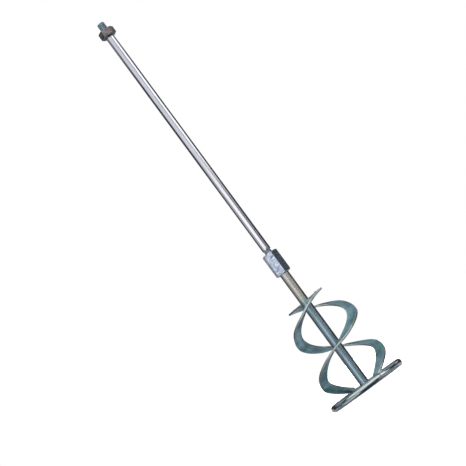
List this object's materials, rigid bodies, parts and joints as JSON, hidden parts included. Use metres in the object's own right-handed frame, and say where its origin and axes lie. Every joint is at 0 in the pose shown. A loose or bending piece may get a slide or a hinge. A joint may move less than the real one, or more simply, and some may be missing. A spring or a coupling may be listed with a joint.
{
  "type": "mortar mixing paddle",
  "caption": "Mixing paddle for mortar: threaded upper shaft with lock nut, hex coupling, and a welded head of helical strips on a round-bar hoop.",
  "frame": {"origin": "on the shaft's axis, in the plane that the hoop stands on", "axes": "+Z along the shaft, from the hoop to the threaded drive end; -Y faces the side where the front spiral passes before the shaft"},
  "size_m": [0.12, 0.12, 0.6467],
  "materials": {
    "polished_steel": "polished drawn bar",
    "nut_steel": "satin, brownish plating",
    "coupling_zinc": "mottled blue zinc plate",
    "shaft_zinc": "satin blue zinc plate",
    "strip_zinc": "satin blue-green zinc plate",
    "ring_zinc": "glossy zinc plate on drawn bar",
    "weld_metal": "rough plated weld bead"
  },
  "bodies": {
    "head": {"base_ring": "ring_zinc", "blade_weld_front": "weld_metal", "blade_weld_rear": "weld_metal", "cross_strut": "strip_zinc", "foot_weld_front": "weld_metal", "foot_weld_rear": "weld_metal", "hex_coupling": "coupling_zinc", "lower_shaft": "shaft_zinc", "ring_seam_weld": "weld_metal", "seam_weld_front": "weld_metal", "seam_weld_rear": "weld_metal", "shaft_foot_weld": "weld_metal", "spiral_front": "strip_zinc", "spiral_rear": "strip_zinc", "strut_weld_left": "weld_metal", "strut_weld_right": "weld_metal", "top_blade_front": "strip_zinc", "top_blade_rear": "strip_zinc"},
    "upper_shaft": {"upper_shaft": "polished_steel"},
    "lock_nut": {"lock_nut": "nut_steel"}
  },
  "joints": [
    {"name": "upper_shaft_unscrew", "type": "slide", "parent": "head", "child": "upper_shaft", "axis": [0, 0, 1], "range_m": [0, 0.024]},
    {"name": "lock_nut_unscrew", "type": "slide", "parent": "upper_shaft", "child": "lock_nut", "axis": [0, 0, 1], "range_m": [0, 0.024]}
  ]
}
